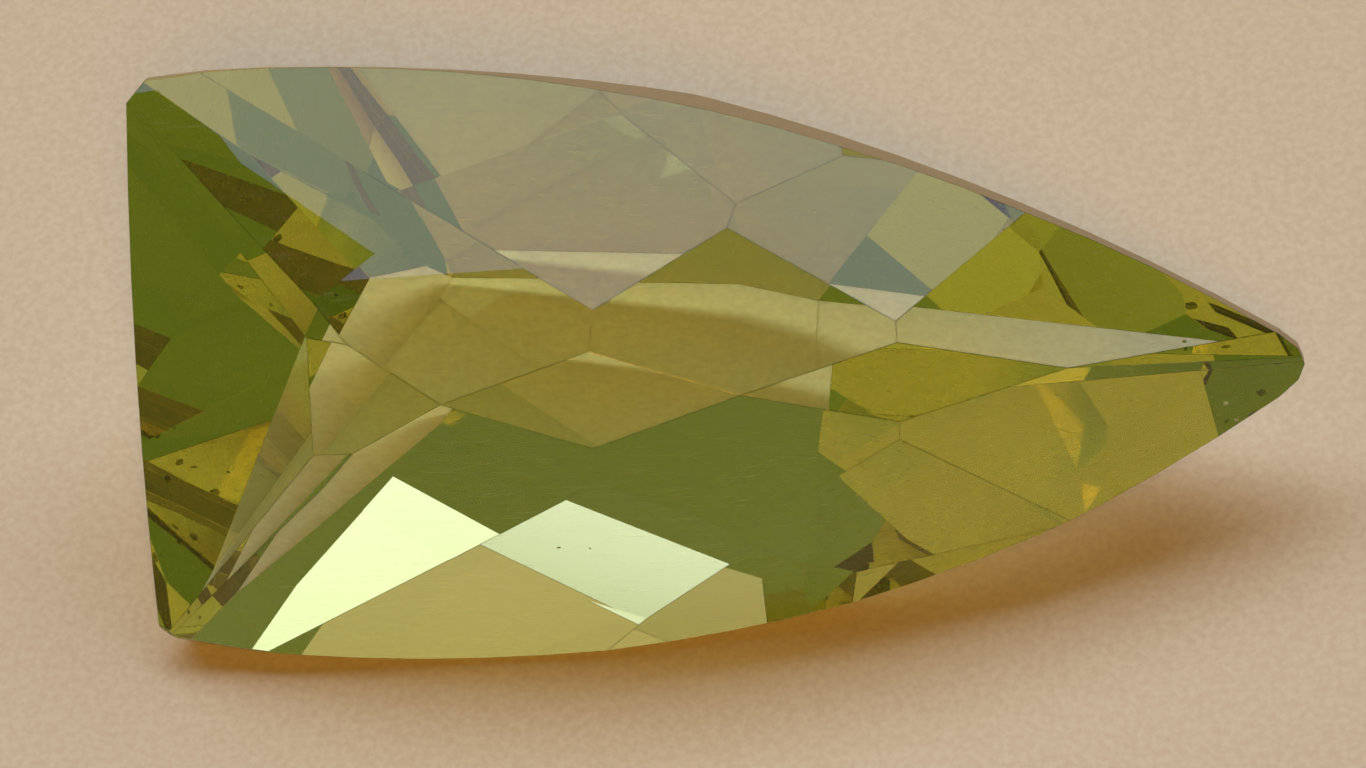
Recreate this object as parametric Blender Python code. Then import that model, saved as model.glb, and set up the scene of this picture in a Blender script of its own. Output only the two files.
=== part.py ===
"""Lemon quartz cut as a long shield: a checkerboard crown over a pavilion of tiered facets.

The stone is cut the way a lapidary cuts it. A block is first ground to the outline, then facet after
facet is ground on the crown and on the pavilion, each at a slope from the girdle plane and an azimuth
around the stone. In the cutting frame the girdle lies in the XY plane, the tip points along +X and the
crown faces +Z. The finished stone is then laid down on the pavilion facet that it rests on.
"""

import math

import bmesh
import bpy
from mathutils import Matrix, Vector

MM = 0.001

# Outline seen from above: each long side swells to its widest point, then runs in to a rounded tip
SHARP_TIP = Vector((11.42, -0.44, 0)) * MM
TIP_START_X = 10.45 * MM
TIP_FLATS = 4
FAR_SIDE = {"half_width": 5.82 * MM, "widest_x": -8.4 * MM, "fullness": 2.18, "shoulder": 12.0 * MM}
NEAR_SIDE = {"half_width": 5.68 * MM, "widest_x": -5.1 * MM, "fullness": 2.17, "shoulder": 26.0 * MM}
SIDE_FLATS = 18
SIDE_START_X = -10.5 * MM
# The back is a shallow bow between its two corners
BACK_FAR_CORNER = Vector((-10.86, 5.24, 0)) * MM
BACK_NEAR_CORNER = Vector((-10.86, -4.9, 0)) * MM
BACK_BULGE = 0.14 * MM
BACK_FLATS = 6

# Heights above the girdle plane, and the lattice that the crown's corners lie on
GIRDLE_HALF = 0.22 * MM
CROWN_HEIGHT = 3.15 * MM
COLUMNS = {-2: -7.5 * MM, -1: -5.0 * MM, 0: -2.2 * MM, 1: 0.5 * MM, 2: 3.2 * MM, 3: 6.5 * MM}
ROW_PITCH = 1.66 * MM

# Crown facets on the long axis: slope, azimuth, and the lattice corner each is ground down to
CROWN_CENTRE = [
    (1, 0, (-1, 0)),
    (19, 180, (-1, 0)),
    (13, 0, (1, 0)),
    (19, 0, (3, 0)),
]
# Crown facets that come in mirrored pairs, row by row from the axis to the girdle
CROWN_PAIRS = [
    (22, 106, (-1, 0)),
    (21, 69, (1, 0)),
    (26, 49, (3, 0)),
    (23, 107, (-2, 1)),
    (31, 89, (0, 1)),
    (29, 66, (1, 2)),
    (32, 90, (-1, 2)),
    (38, 80, (1, 2)),
    (40, 71, (3, 2)),
]
# The large triangular facet at the back, and the slim pair beside it, which goes past its corner
CROWN_BACK = (30, 180, (-2, 0))
CROWN_BACK_PAIR = (21, 147, (-2, 1))
BACK_PAIR_PAST = 0.05 * MM

# Pavilion facets: slope, azimuth, and how far inside the outline each would meet the girdle's lower
# edge, or outside it where a steeper facet comes between. The stone rests on the first pair's near facet.
PAVILION_PAIRS = [
    (48, 88, 0.4 * MM),
    (43, 81, -0.2 * MM),
    (46, 65, 0.4 * MM),
    (36, 153, -0.3 * MM),
]
PAVILION_BACK = (49, 0.4 * MM)

BLOCK = Vector((26.0, 16.0, 22.0)) * MM
# Corners closer than WELD are one corner; a corner within FLUSH of a cut lies on it
WELD = 0.005 * MM
FLUSH = 0.0001 * MM


def clear_scene():
    """Start from an empty scene, so that the script gives the same result each run."""
    for obj in list(bpy.data.objects):
        bpy.data.objects.remove(obj, do_unlink=True)


def grind(bm, point, normal):
    """Grind the stone flat at the plane through the point, on the side that the normal points to."""
    everything = bm.verts[:] + bm.edges[:] + bm.faces[:]
    bmesh.ops.bisect_plane(
        bm, geom=everything, dist=FLUSH, plane_co=point, plane_no=normal, clear_outer=True
    )
    rim = [edge for edge in bm.edges if edge.is_boundary]
    if rim:
        bmesh.ops.contextual_create(bm, geom=rim)


def facet_normal(slope, azimuth, faces_up):
    """The outward direction of a facet at this slope from the girdle plane and azimuth around the stone."""
    tilt = math.radians(slope)
    turn = math.radians(azimuth)
    rise = math.cos(tilt) if faces_up else -math.cos(tilt)
    return Vector((math.sin(tilt) * math.cos(turn), math.sin(tilt) * math.sin(turn), rise))


def side_point(side, across, x):
    """The point of a long side at x, on the far side (1) or near side (-1)."""
    past = x - side["widest_x"]
    widest_y = across * side["half_width"]
    if past < 0:
        return Vector((x, widest_y - across * past * past / (2 * side["shoulder"]), 0))
    share = past / (SHARP_TIP.x - side["widest_x"])
    return Vector((x, SHARP_TIP.y + (widest_y - SHARP_TIP.y) * (1 - share ** side["fullness"]), 0))


def bow(start, crest, end, steps):
    """The points between start and end on a bow that is pulled towards the crest."""
    shares = [i / steps for i in range(1, steps)]
    return [start.lerp(crest, share).lerp(crest.lerp(end, share), share) for share in shares]


def outline():
    """The girdle's outline as points, anticlockwise seen from above, starting at the back's near end."""
    steps = [i / SIDE_FLATS for i in range(SIDE_FLATS + 1)]
    stations = [SIDE_START_X + (TIP_START_X - SIDE_START_X) * step for step in steps]
    near = [side_point(NEAR_SIDE, -1, x) for x in stations]
    far = [side_point(FAR_SIDE, 1, x) for x in reversed(stations)]
    tip = bow(near[-1], SHARP_TIP, far[0], TIP_FLATS)
    crest = BACK_FAR_CORNER.lerp(BACK_NEAR_CORNER, 0.5) - Vector((2 * BACK_BULGE, 0, 0))
    back = bow(BACK_FAR_CORNER, crest, BACK_NEAR_CORNER, BACK_FLATS)
    return near + tip + far + [BACK_FAR_CORNER] + back + [BACK_NEAR_CORNER]


def grind_outline(bm, points):
    """Grind the block to the outline with a vertical flat along each of its short steps."""
    for here, there in zip(points, points[1:] + points[:1]):
        along = there - here
        grind(bm, here, Vector((along.y, -along.x, 0)).normalized())


def corner(lattice, side):
    """The place of a lattice corner, given by its column and row, on the far side (1) or near side (-1)."""
    column, row = lattice
    return Vector((COLUMNS[column], side * row * ROW_PITCH, 0))


def crown_height(cuts, place):
    """The crown's height at a place in the girdle plane, under the cuts made so far."""
    return min(point.z - (place - point).xy.dot(normal.xy) / normal.z for point, normal in cuts)


def grind_crown_facet(bm, cuts, facet, side, past=0):
    """Grind a crown facet until it just reaches the surface at a lattice corner, or that far past it."""
    slope, azimuth, lattice = facet
    place = corner(lattice, side)
    place.z = crown_height(cuts, place) - past
    normal = facet_normal(slope, side * azimuth, True)
    grind(bm, place, normal)
    cuts.append((place, normal))


def grind_crown(bm):
    """Grind the checkerboard outwards from the long axis, then the facets at the back."""
    cuts = [(Vector((0, 0, CROWN_HEIGHT)), Vector((0, 0, 1)))]
    for facet in CROWN_CENTRE:
        grind_crown_facet(bm, cuts, facet, 1)
    for facet in CROWN_PAIRS:
        grind_crown_facet(bm, cuts, facet, 1)
        grind_crown_facet(bm, cuts, facet, -1)
    grind_crown_facet(bm, cuts, CROWN_BACK, 1)
    grind_crown_facet(bm, cuts, CROWN_BACK_PAIR, 1, BACK_PAIR_PAST)
    grind_crown_facet(bm, cuts, CROWN_BACK_PAIR, -1, BACK_PAIR_PAST)


def grind_pavilion_facet(bm, points, slope, azimuth, inset):
    """Grind a pavilion facet in from where its own flat direction touches the outline."""
    normal = facet_normal(slope, azimuth, False)
    level = Vector((normal.x, normal.y, 0)).normalized()
    reach = max(point.dot(level) for point in points) - inset
    grind(bm, level * reach + Vector((0, 0, -GIRDLE_HALF)), normal)
    return normal


def grind_pavilion(bm, points):
    """Grind the pavilion's mirrored pairs and its back facet. Returns the outward side of the rest facet."""
    rest = None
    for slope, azimuth, inset in PAVILION_PAIRS:
        near = grind_pavilion_facet(bm, points, slope, -azimuth, inset)
        grind_pavilion_facet(bm, points, slope, azimuth, inset)
        rest = rest or near
    grind_pavilion_facet(bm, points, PAVILION_BACK[0], 180, PAVILION_BACK[1])
    return rest


def quartz_material():
    """Clear lemon quartz: a polished, see-through greenish yellow."""
    material = bpy.data.materials.new("lemon_quartz")
    material.use_nodes = True
    shader = material.node_tree.nodes["Principled BSDF"]
    shader.inputs["Base Color"].default_value = (0.62, 0.60, 0.16, 1)
    shader.inputs["Roughness"].default_value = 0.02
    shader.inputs["Metallic"].default_value = 0.0
    shader.inputs["IOR"].default_value = 1.544
    shader.inputs["Transmission Weight"].default_value = 1.0
    return material


def cut_stone():
    """Cut the stone from its block. Returns the stone and the outward side of its rest facet."""
    bm = bmesh.new()
    bmesh.ops.create_cube(bm, size=1, matrix=Matrix.Diagonal((*BLOCK, 1)))
    points = outline()
    grind_outline(bm, points)
    grind_crown(bm)
    rest = grind_pavilion(bm, points)
    bmesh.ops.remove_doubles(bm, verts=bm.verts, dist=WELD)
    bmesh.ops.recalc_face_normals(bm, faces=bm.faces)
    mesh = bpy.data.meshes.new("stone")
    bm.to_mesh(mesh)
    bm.free()
    mesh.materials.append(quartz_material())
    return bpy.data.objects.new("stone", mesh), rest


def lay_down(stone, rest):
    """Turn the stone so that its rest facet faces down, with the tip towards +X and its base centred."""
    turn = rest.rotation_difference(Vector((0, 0, -1))).to_matrix()
    axis = turn @ Vector((1, 0, 0))
    turn = Matrix.Rotation(-math.atan2(axis.y, axis.x), 3, "Z") @ turn
    stone.data.transform(turn.to_4x4())
    places = [vertex.co for vertex in stone.data.vertices]
    low = Vector([min(place[i] for place in places) for i in range(3)])
    high = Vector([max(place[i] for place in places) for i in range(3)])
    middle = (low + high) / 2
    stone.data.transform(Matrix.Translation((-middle.x, -middle.y, -low.z)))


def main():
    """Build the stone in a collection named for it."""
    clear_scene()
    collection = bpy.data.collections.new("lemon_quartz")
    bpy.context.scene.collection.children.link(collection)
    stone, rest = cut_stone()
    collection.objects.link(stone)
    lay_down(stone, rest)


main()
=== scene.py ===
# %% [markdown]
# # A faceted lemon quartz
#
# The real object is a cut gemstone about 22 mm long: clear greenish yellow quartz, ground to a long
# rounded shield with a checkerboard of facets on top and large facets below. It lies tilted on one of
# its lower facets, on a pale, fine-grained surface, under soft light from above.
#
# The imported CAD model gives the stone's exact shape and place. This script gives it the looks: polished
# faces, worn edges, a frosted girdle, the yellow that comes from light passing through the body, the
# small flaws inside it, and then the floor, the light and the camera.

import math
import random

import bmesh
import bpy
from mathutils import Matrix, Vector


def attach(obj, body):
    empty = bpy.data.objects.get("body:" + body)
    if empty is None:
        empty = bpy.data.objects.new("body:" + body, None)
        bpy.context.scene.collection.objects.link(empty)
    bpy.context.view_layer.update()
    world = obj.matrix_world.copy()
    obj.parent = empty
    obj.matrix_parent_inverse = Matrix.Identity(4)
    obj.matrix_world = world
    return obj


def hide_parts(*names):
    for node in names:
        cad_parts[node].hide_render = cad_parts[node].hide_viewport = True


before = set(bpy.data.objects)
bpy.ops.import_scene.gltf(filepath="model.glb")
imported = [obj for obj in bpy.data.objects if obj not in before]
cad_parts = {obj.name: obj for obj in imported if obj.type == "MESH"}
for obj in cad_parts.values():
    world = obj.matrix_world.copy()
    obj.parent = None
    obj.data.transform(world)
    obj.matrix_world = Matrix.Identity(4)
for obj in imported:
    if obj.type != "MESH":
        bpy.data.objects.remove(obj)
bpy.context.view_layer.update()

# %% [markdown]
# ## Colours and shader nodes
#
# Colours are written as sRGB hex values, the way a paint program shows them, and turned to the linear
# values that shaders work in. One helper adds a shader node, sets it and links it, and two more put a
# mesh, a lamp or a camera in the scene.

# %% Units, colours and helpers for nodes and objects
MM = 0.001
# a Mix node has a set of sockets for each kind of value; these are the numbers of the colour ones
MIX_START, MIX_END, MIX_RESULT = 6, 7, 2


def linear(hex_colour):
    """An sRGB colour, written as in a paint program, as the linear values that Blender works in."""
    parts = [int(hex_colour[i:i + 2], 16) / 255 for i in (1, 3, 5)]
    lit = [part / 12.92 if part <= 0.04045 else ((part + 0.055) / 1.055) ** 2.4 for part in parts]
    return lit + [1.0]


def add_node(tree, kind, settings=None, links=None):
    """Add a shader node. Settings fill its properties or sockets; links join its sockets to others."""
    node = tree.nodes.new(kind)
    for name, value in (settings or {}).items():
        if isinstance(name, int) or name in node.inputs:
            node.inputs[name].default_value = value
        else:
            setattr(node, name, value)
    for name, output in (links or {}).items():
        tree.links.new(output, node.inputs[name])
    return node


def in_scene(name, data):
    """A new object in the scene that shows this mesh, lamp or camera."""
    shown = bpy.data.objects.new(name, data)
    bpy.context.scene.collection.objects.link(shown)
    return shown


def mesh_object(name, bm):
    """A new object in the scene whose mesh is the finished bmesh."""
    mesh = bpy.data.meshes.new(name)
    bm.to_mesh(mesh)
    bm.free()
    return in_scene(name, mesh)


print("lemon yellow in linear values:", [round(value, 3) for value in linear("#D9D26A")])

# %% [markdown]
# ## The stone
#
# A lapidary grinds each facet dead flat, so the facets of the real stone meet in crisp edges. The shape
# could be sculpted or subdivided, but a cut stone has no curve at all, so the CAD node is taken as it is.
# Its mesh is made of loose triangles: a copy is merged, and the triangles are dissolved back into whole
# facets. Every edge then gets a tiny bevel, because even a sharp gem edge is about a hundredth of a
# millimetre wide, and it catches the light as a fine line.

# %% Copy the CAD stone and join its triangles into facets
# corners closer than WELD are one corner, and triangles that bend less than FLATNESS are one facet
WELD = 0.002 * MM
FLATNESS = math.radians(0.2)


def facets_of(node):
    """A bmesh of the CAD node with its doubles merged and flat neighbours joined into facets."""
    bm = bmesh.new()
    bm.from_mesh(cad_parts[node].data)
    bmesh.ops.remove_doubles(bm, verts=bm.verts, dist=WELD)
    bmesh.ops.dissolve_limit(
        bm, angle_limit=FLATNESS, verts=bm.verts, edges=bm.edges, use_dissolve_boundaries=False
    )
    return bm


stone_mesh = facets_of("stone")
print("facets:", len(stone_mesh.faces))

# %% Mark the girdle
POLISHED, FROSTED, WORN = 0, 1, 2
# the way the crown faces, as the stone lies tilted on one of its lower facets
CROWN_AXIS = Vector((0.017, -0.743, 0.669))
# a girdle flat stands square to the crown's axis, give or take this much
SQUARENESS = math.radians(3)
for face in stone_mesh.faces:
    on_girdle = abs(face.normal.dot(CROWN_AXIS)) < math.sin(SQUARENESS)
    face.material_index = FROSTED if on_girdle else POLISHED
print("girdle flats:", sum(face.material_index == FROSTED for face in stone_mesh.faces))

# %% Ease the edges
EDGE_WIDTH = 0.007 * MM
# edges that bend less than this, such as those between girdle flats, stay as they are
SHARP = math.radians(4)
edges = [edge for edge in stone_mesh.edges if edge.calc_face_angle(0) > SHARP]
eased = bmesh.ops.bevel(
    stone_mesh, geom=edges, offset=EDGE_WIDTH, offset_type="OFFSET", affect="EDGES",
    segments=1, profile=0.5, material=-1, clamp_overlap=True,
)
for face in eased["faces"]:
    face.material_index = WORN
bmesh.ops.recalc_face_normals(stone_mesh, faces=stone_mesh.faces)

stone = mesh_object("cut_stone", stone_mesh)
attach(stone, "root")
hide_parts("stone")
print("faces with eased edges:", len(stone.data.polygons))

# %% [markdown]
# ## Quartz, polished, worn and frosted
#
# Lemon quartz is clear quartz with an IOR of about 1.55. Its colour is in its body, not on its surface.
# A tinted glass shader would stain every ray once, however far it goes. So the surface is left clear and
# the yellow comes from absorption: blue light is lost within a few millimetres, red and green much less.
# To the eye, long paths inside the stone turn deep olive and short ones stay pale.
#
# The same crystal has three finishes. The facets are polished to a mirror. The edges are worn round by
# handling. The girdle is left as the grinding wheel made it, frosted.

# %% The crystal's body colour
QUARTZ_IOR = 1.548
# how fast the crystal takes up red, green and blue light, per metre
LOSS_PER_METRE = (32.0, 30.0, 135.0)
# the volume's density stays this much above the largest loss, so that no colour is fully lost
HEADROOM = 1.1
LONG_PATH = 10 * MM


def quartz(name, roughness, colour="#FFFFFF"):
    """Quartz whose surface has this roughness and tint, coloured inside by what it absorbs."""
    material = bpy.data.materials.new(name)
    material.use_nodes = True
    tree = material.node_tree
    shader = tree.nodes["Principled BSDF"]
    shader.inputs["Base Color"].default_value = linear(colour)
    shader.inputs["Roughness"].default_value = roughness
    shader.inputs["IOR"].default_value = QUARTZ_IOR
    shader.inputs["Transmission Weight"].default_value = 1
    density = max(LOSS_PER_METRE) * HEADROOM
    kept = [1 - loss / density for loss in LOSS_PER_METRE]
    body = add_node(tree, "ShaderNodeVolumeAbsorption", {"Color": (*kept, 1), "Density": density})
    tree.links.new(body.outputs[0], tree.nodes["Material Output"].inputs["Volume"])
    return material


print("light kept after 10 mm:", [round(math.exp(-loss * LONG_PATH), 2) for loss in LOSS_PER_METRE])

# %% Polished quartz, with streaks from the polishing lap
# polish gives the eye a mirror that shows each facet's outline, with a few pale hazy lines in it
# real streaks are finer than a hair; these are drawn as wide as a pixel or two, so that they can be seen
STREAK_WIDTH = 0.05 * MM
# how many times longer than wide a streak is, and how the streaks are turned on the stone, in radians
STREAK_LENGTH = 25
STREAK_TURN = (0.3, 0.2, 0.5)
# the share of light that a streak scatters, and the noise values at its edge and in its middle
STREAK_HAZE = 0.06
STREAK_EDGE = 0.6
STREAK_CORE = 0.8


def add_polish_streaks(material):
    """Faint parallel streaks where the polish scatters a little light instead of letting it through."""
    tree = material.node_tree
    place = add_node(tree, "ShaderNodeTexCoord")
    along = add_node(
        tree, "ShaderNodeMapping", {"Rotation": STREAK_TURN, "Scale": (1 / STREAK_LENGTH, 1, 1)},
        {"Vector": place.outputs["Object"]},
    )
    streaks = add_node(
        tree, "ShaderNodeTexNoise", {"Scale": 1 / STREAK_WIDTH, "Detail": 1}, {"Vector": along.outputs[0]}
    )
    clarity = add_node(
        tree, "ShaderNodeMapRange",
        {"From Min": STREAK_EDGE, "From Max": STREAK_CORE, "To Min": 1, "To Max": 1 - STREAK_HAZE},
        {"Value": streaks.outputs[0]},
    )
    tree.links.new(clarity.outputs[0], tree.nodes["Principled BSDF"].inputs["Transmission Weight"])


lapped_quartz = quartz("lapped_quartz", roughness=0.0)
add_polish_streaks(lapped_quartz)
print("a streak is", round(1000 * STREAK_WIDTH * STREAK_LENGTH, 2), "mm long")

# %% Ground quartz for the girdle, worn quartz for the edges
# a grinding wheel leaves pits of a few hundredths of a millimetre, which give the eye a matt tan band
# that scatters half of the light and lets the other half through
GRIT_SIZE = 0.06 * MM
GRIT_DEPTH = 0.01 * MM
GROUND_ROUGHNESS = 0.5
GROUND_CLARITY = 0.5
GROUND_COLOUR = "#DDBE92"
# handling rounds an edge, which gives the eye a soft glint along it
WORN_ROUGHNESS = 0.12


def add_grain(material, size, height, detail=2):
    """A fine raised grain all over a material's surface. Returns the noise that it follows."""
    tree = material.node_tree
    place = add_node(tree, "ShaderNodeTexCoord")
    grain = add_node(
        tree, "ShaderNodeTexNoise", {"Scale": 1 / size, "Detail": detail},
        {"Vector": place.outputs["Object"]},
    )
    bump = add_node(tree, "ShaderNodeBump", {"Distance": height}, {"Height": grain.outputs[0]})
    tree.links.new(bump.outputs[0], tree.nodes["Principled BSDF"].inputs["Normal"])
    return grain


ground_quartz = quartz("ground_quartz", GROUND_ROUGHNESS, GROUND_COLOUR)
ground_shader = ground_quartz.node_tree.nodes["Principled BSDF"]
ground_shader.inputs["Transmission Weight"].default_value = GROUND_CLARITY
add_grain(ground_quartz, GRIT_SIZE, GRIT_DEPTH)
worn_quartz = quartz("worn_quartz", WORN_ROUGHNESS)
for finish in (lapped_quartz, ground_quartz, worn_quartz):
    stone.data.materials.append(finish)
print("stone materials:", [material.name for material in stone.data.materials])

# %% [markdown]
# ## Flaws inside the crystal
#
# Natural quartz holds small guests. Near the tip three olive smudges float under the surface, with a tiny
# bright crack below them, and two specks show against the bright mint facet. They could be painted on the
# facets, but then they would lie on the surface. Each is a small closed lump of its own inside the stone,
# squashed and roughened, so that the stone bends it and repeats it as it would a real one.

# %% Specks and a crack
# middle and half lengths of each flaw in mm, placed from the photograph
SMUDGES = [
    ((8.8, 0.4, 4.1), (0.12, 0.07, 0.06)),
    ((9.4, -0.1, 3.6), (0.10, 0.03, 0.03)),
    ((8.6, 0.0, 3.5), (0.05, 0.03, 0.03)),
    ((-3.1, -2.9, 2.4), (0.04, 0.03, 0.02)),
    ((-2.5, -3.1, 2.5), (0.02, 0.02, 0.02)),
]
CRACKS = [
    ((9.4, -0.8, 2.8), (0.05, 0.02, 0.05)),
]
RAGGEDNESS = 0.25
LUMP_SUBDIVISIONS = 2
# the little that a stained veil bends light, next to the quartz around it
VEIL_IOR = 1.03
VEIL_ROUGHNESS = 0.3
VEIL_COLOUR = "#A8A262"
GLINT_ROUGHNESS = 0.2
GLINT_COLOUR = "#E6ECC0"


def flaws(name, places, material):
    """Small ragged lumps inside the stone, joined in one piece."""
    ragged = random.Random(len(places))
    bm = bmesh.new()
    for middle, half in places:
        lump = bmesh.ops.create_icosphere(bm, subdivisions=LUMP_SUBDIVISIONS, radius=1)["verts"]
        for vertex in lump:
            reach = 1 + ragged.uniform(-RAGGEDNESS, RAGGEDNESS)
            vertex.co = (Vector(middle) + Vector(half) * vertex.co * reach) * MM
    bmesh.ops.recalc_face_normals(bm, faces=bm.faces)
    piece = mesh_object(name, bm)
    piece.data.materials.append(material)
    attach(piece, "root")


def plain(name, colour, roughness, clear=0.0):
    """A material with one colour and roughness. It is solid, or with clear at 1 a stained veil."""
    material = bpy.data.materials.new(name)
    material.use_nodes = True
    shader = material.node_tree.nodes["Principled BSDF"]
    shader.inputs["Base Color"].default_value = linear(colour)
    shader.inputs["Roughness"].default_value = roughness
    shader.inputs["Transmission Weight"].default_value = clear
    shader.inputs["IOR"].default_value = VEIL_IOR if clear else QUARTZ_IOR
    return material


# a thin stain gives the eye an olive shadow that light still passes
olive_veil = plain("olive_veil", VEIL_COLOUR, VEIL_ROUGHNESS, clear=1.0)
# a healed crack turns light back at once, which gives the eye a pale spark
crack_glint = plain("crack_glint", GLINT_COLOUR, GLINT_ROUGHNESS)
flaws("mineral_specks", SMUDGES, olive_veil)
flaws("healed_crack", CRACKS, crack_glint)
print("flaws:", len(SMUDGES) + len(CRACKS))

# %% [markdown]
# ## Floor
#
# The stone lies on a pale surface with a fine grain, like sanded plaster or suede paper. Real grains of
# that size would take millions of faces. Noise does it instead: as a bump it turns the light, and the
# same noise makes the hollows a little darker than the crests.

# %% Floor
FLOOR_RADIUS = 600 * MM
FLOOR_SIDES = 64
# the floor lies this little below the stone, so that the two never share a plane
FLOOR_GAP = 0.03 * MM
CREST_COLOUR = "#E9E5DC"
HOLLOW_COLOUR = "#E0D9CE"
GRAIN_SIZE = 0.14 * MM
GRAIN_HEIGHT = 0.007 * MM
GRAIN_DETAIL = 4
# the noise values of the deepest hollows and of the highest crests
HOLLOW_NOISE = 0.35
CREST_NOISE = 0.65
# sanding leaves plaster rough and almost without shine, which gives the eye a chalky, sandy mottle
PLASTER_ROUGHNESS = 0.85
PLASTER_SHINE = 0.1


def sanded_plaster():
    """Pale plaster, sanded flat, with a fine grain."""
    material = plain("sanded_plaster", CREST_COLOUR, PLASTER_ROUGHNESS)
    grain = add_grain(material, GRAIN_SIZE, GRAIN_HEIGHT, GRAIN_DETAIL)
    tree = material.node_tree
    tint = add_node(
        tree, "ShaderNodeMapRange", {"From Min": HOLLOW_NOISE, "From Max": CREST_NOISE},
        {"Value": grain.outputs[0]},
    )
    ends = {MIX_START: linear(HOLLOW_COLOUR), MIX_END: linear(CREST_COLOUR)}
    blend = add_node(tree, "ShaderNodeMix", {"data_type": "RGBA", **ends}, {"Factor": tint.outputs[0]})
    shader = tree.nodes["Principled BSDF"]
    shader.inputs["Specular IOR Level"].default_value = PLASTER_SHINE
    tree.links.new(blend.outputs[MIX_RESULT], shader.inputs["Base Color"])
    return material


floor_mesh = bmesh.new()
bmesh.ops.create_circle(floor_mesh, cap_ends=True, radius=FLOOR_RADIUS, segments=FLOOR_SIDES)
bmesh.ops.translate(floor_mesh, verts=floor_mesh.verts, vec=(0, 0, -FLOOR_GAP))
floor = mesh_object("floor", floor_mesh)
floor.data.materials.append(sanded_plaster())
print("floor is", 2 * FLOOR_RADIUS, "m across")

# %% [markdown]
# ## Light
#
# Three soft lamps stand around the stone. A wide white window beyond it gives the floor most of its light
# and throws the shadow towards the camera. A warm lamp on the camera's side fills that shadow, so the
# shadow is orange brown. A bluish softbox overhead is what the crown's upper facets mirror: it makes them
# milky, and two facets that pass it on after a turn inside the stone shine mint green.
#
# One lamp can't be both: a window bright enough for the floor would be a glare in the stone, and a
# softbox over the stone would wash out the shadow. So the window is hidden from the stone's mirrors and
# from what passes through it, and the softbox is hidden from matt surfaces.

# %% Window, warm lamp and softbox
# places and sizes in metres; radiance is how bright a lamp's face is, where 1 shows as white
WINDOW = {"place": (-0.06, 0.46, 0.88), "size": (1.7, 0.45), "colour": "#FCFFFA", "radiance": 3.0}
WARM_LAMP = {"place": (0.08, -0.6, 0.79), "size": (0.3, 0.3), "colour": "#FFB440", "radiance": 12.0}
SOFTBOX = {"place": (0.0, 0.0025, 1.0), "size": (0.88, 0.655), "colour": "#B3C1FF", "radiance": 2.45}


def soft_lamp(name, place, size, colour, radiance):
    """A rectangular area lamp turned to the stone, with this radiance all over its face."""
    lamp = bpy.data.lights.new(name, "AREA")
    lamp.shape = "RECTANGLE"
    lamp.size, lamp.size_y = size
    lamp.color = linear(colour)[:3]
    lamp.energy = radiance * math.pi * size[0] * size[1]
    holder = in_scene(name, lamp)
    holder.location = place
    holder.rotation_euler = (-Vector(place)).to_track_quat("-Z", "Y").to_euler()
    return holder


window = soft_lamp("window", **WINDOW)
window.visible_glossy = False
window.visible_transmission = False
soft_lamp("warm_lamp", **WARM_LAMP)
soft_lamp("softbox", **SOFTBOX).visible_diffuse = False
print("lamps:", [lamp.name for lamp in bpy.data.lights])

# %% [markdown]
# ## Room
#
# Where the stone doesn't mirror a lamp, it shows the room: dim olive walls on the camera's side, and a
# lighter, warmer wall beyond the stone, which the lowest row of crown facets passes on. An even world
# would make all the facets look alike, so the world blends from one wall to the other.

# %% Walls
NEAR_WALL_COLOUR = "#76814F"
FAR_WALL_COLOUR = "#CEBFAA"
# how far a direction points away from the camera's side where the blend starts and ends
BLEND_DIRECTION = Vector((0, 1, 0.3))
BLEND_START = 0.2
BLEND_END = 0.7


def light_room():
    """A dim world that is lighter on the far side. The floor takes its light from the lamps only."""
    world = bpy.data.worlds.new("room")
    world.use_nodes = True
    tree = world.node_tree
    place = add_node(tree, "ShaderNodeTexCoord")
    facing = add_node(
        tree, "ShaderNodeVectorMath", {"operation": "DOT_PRODUCT", 1: BLEND_DIRECTION},
        {0: place.outputs["Generated"]},
    )
    share = add_node(
        tree, "ShaderNodeMapRange", {"From Min": BLEND_START, "From Max": BLEND_END},
        {"Value": facing.outputs["Value"]},
    )
    ends = {MIX_START: linear(NEAR_WALL_COLOUR), MIX_END: linear(FAR_WALL_COLOUR)}
    blend = add_node(tree, "ShaderNodeMix", {"data_type": "RGBA", **ends}, {"Factor": share.outputs[0]})
    tree.links.new(blend.outputs[MIX_RESULT], tree.nodes["Background"].inputs["Color"])
    world.cycles_visibility.diffuse = False
    bpy.context.scene.world = world


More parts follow.
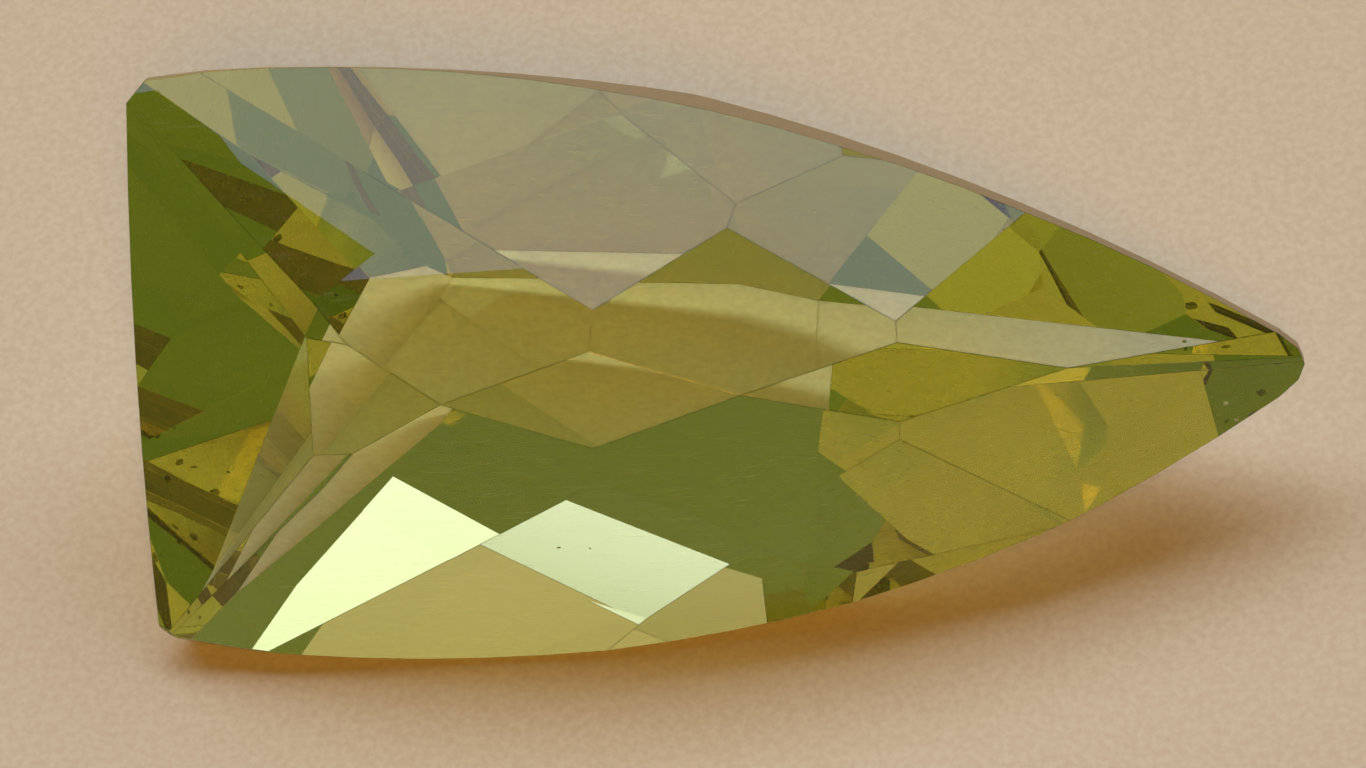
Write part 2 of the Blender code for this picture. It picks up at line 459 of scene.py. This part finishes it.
light_room()
near_light, far_light = (linear(colour)[1] for colour in (NEAR_WALL_COLOUR, FAR_WALL_COLOUR))
print("the far wall is", round(far_light / near_light, 1), "times as light")

# %% [markdown]
# ## Camera
#
# The photograph looks down at the stone's crown from about 56 degrees above the floor, through a long
# lens and from close by. The camera's place, aim and roll were fitted to the stone's outline in the
# photograph, and its focal length is given in pixels of that image.

# %% Camera
CAMERA_PLACE = Vector((8.791, -67.39, 102.958)) * MM
CAMERA_AIM = Vector((-0.673, -0.588, 3.718)) * MM
CAMERA_ROLL = math.radians(-9.072)
SENSOR_WIDTH = 36.0
FOCAL_PIXELS = 6390
IMAGE_WIDTH = 1366
# nothing nearer or farther than this is drawn
NEAREST = 5 * MM
FARTHEST = 5000 * MM

camera_data = bpy.data.cameras.new("camera")
camera_data.sensor_width = SENSOR_WIDTH
camera_data.lens = SENSOR_WIDTH * FOCAL_PIXELS / IMAGE_WIDTH
camera_data.clip_start = NEAREST
camera_data.clip_end = FARTHEST
camera = in_scene("camera", camera_data)
toward = CAMERA_AIM - CAMERA_PLACE
turn = toward.to_track_quat("-Z", "Y").to_matrix() @ Matrix.Rotation(CAMERA_ROLL, 3, "Z")
camera.matrix_world = Matrix.Translation(CAMERA_PLACE) @ turn.to_4x4()
bpy.context.scene.camera = camera
print("lens:", round(camera_data.lens, 1), "mm")

# %% [markdown]
# ## Light paths
#
# A ray is turned back many times inside a cut stone before it leaves. With too few bounces those rays
# end black, so the stone gets two dozen. Light that the stone throws on the floor is kept as well: it
# gives the shadow its glow.

# %% Light paths and colours as they are
BOUNCES = 24
# the roughness that blurs a mirrored ray's light on matt surfaces, which calms the noise
CAUSTIC_BLUR = 0.5
scene = bpy.context.scene
scene.cycles.max_bounces = BOUNCES
scene.cycles.transmission_bounces = BOUNCES
scene.cycles.glossy_bounces = BOUNCES
scene.cycles.caustics_refractive = True
scene.cycles.caustics_reflective = True
scene.cycles.blur_glossy = CAUSTIC_BLUR
scene.cycles.use_denoising = True
scene.view_settings.view_transform = "Standard"
scene.view_settings.look = "None"
print("bounces:", BOUNCES)
